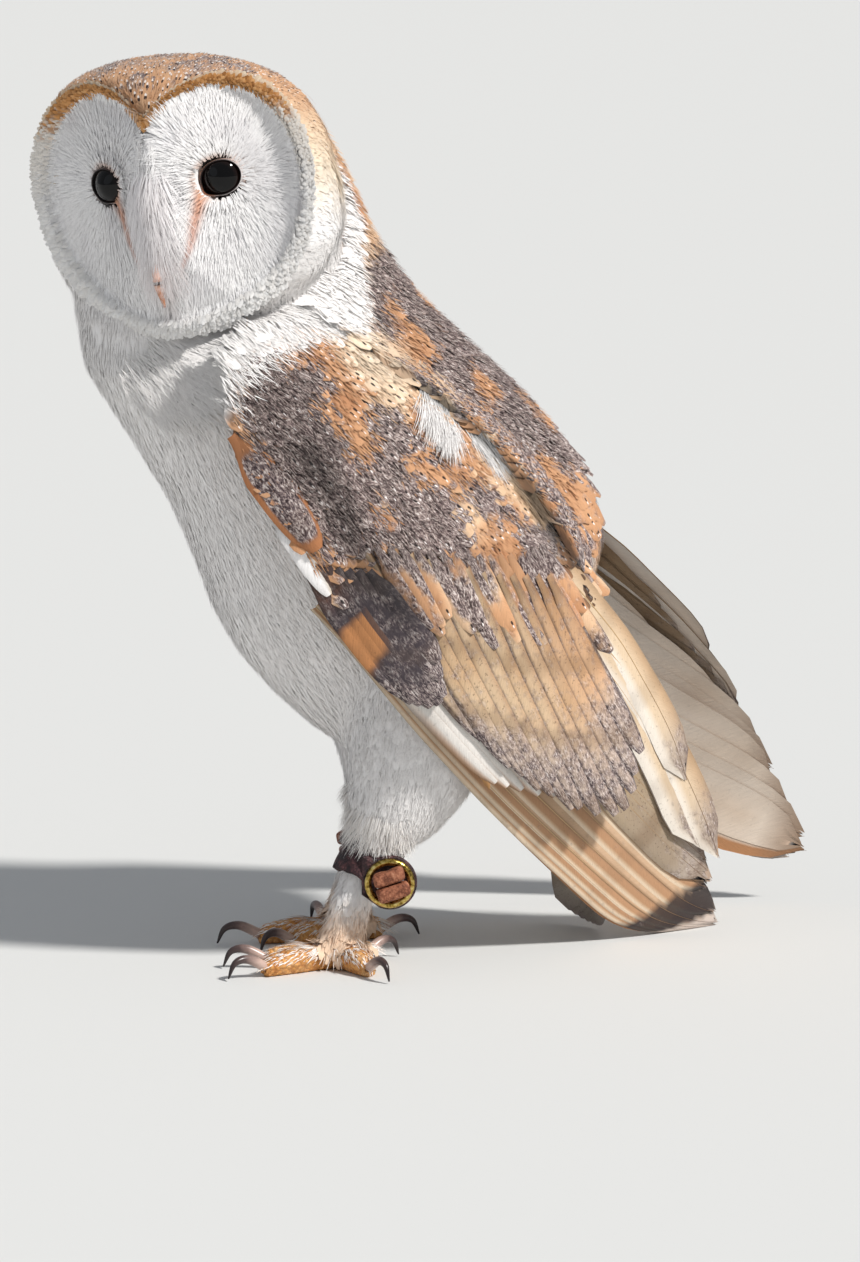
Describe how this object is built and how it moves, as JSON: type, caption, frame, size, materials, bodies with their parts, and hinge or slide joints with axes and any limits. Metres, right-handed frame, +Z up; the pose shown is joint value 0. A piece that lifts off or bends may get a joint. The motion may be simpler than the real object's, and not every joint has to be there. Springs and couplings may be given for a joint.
{
  "type": "barn owl",
  "caption": "Life-size barn owl standing at rest, head turned to its left, wings folded with the right one held further back, wearing leather anklets.",
  "frame": {"origin": "middle of the bounding box at floor level", "axes": "+Z up, the owl's body faces -Y, its left side is at +X"},
  "size_m": [0.1216, 0.2816, 0.3056],
  "materials": {
    "plumage_white": "soft white body and face feathers",
    "plumage_gold": "gold feathers with grey vermiculation",
    "plumage_buff": "buff flight feathers with faint grey bars",
    "toe_skin": "scaly orange-brown skin with short bristles",
    "claw_horn": "dark polished horn",
    "bill_horn": "pale ivory horn with a pink tinge",
    "eye_dark": "wet near-black eye",
    "leather_dark": "worn dark brown leather",
    "leather_tan": "greased tan leather",
    "grommet_brass": "dull brass"
  },
  "bodies": {
    "root": {"anklet_l": "leather_dark", "anklet_r": "leather_dark", "bill_lower": "bill_horn", "bill_upper": "bill_horn", "claw_l_hind": "claw_horn", "claw_l_inner": "claw_horn", "claw_l_middle": "claw_horn", "claw_l_outer": "claw_horn", "claw_r_hind": "claw_horn", "claw_r_inner": "claw_horn", "claw_r_middle": "claw_horn", "claw_r_outer": "claw_horn", "eye_l": "eye_dark", "eye_r": "eye_dark", "foot_l": "toe_skin", "foot_r": "toe_skin", "grommet_l": "grommet_brass", "grommet_r": "grommet_brass", "head": "plumage_white", "jess_button_l": "leather_tan", "jess_button_r": "leather_tan", "neck": "plumage_white", "primaries_l": "plumage_buff", "primaries_r": "plumage_buff", "secondaries_l": "plumage_buff", "secondaries_r": "plumage_buff", "tail": "plumage_buff", "tarsus_l": "plumage_white", "tarsus_r": "plumage_white", "thigh_l": "plumage_white", "thigh_r": "plumage_white", "trunk": "plumage_white", "wing_l": "plumage_gold", "wing_r": "plumage_gold"}
  },
  "joints": []
}
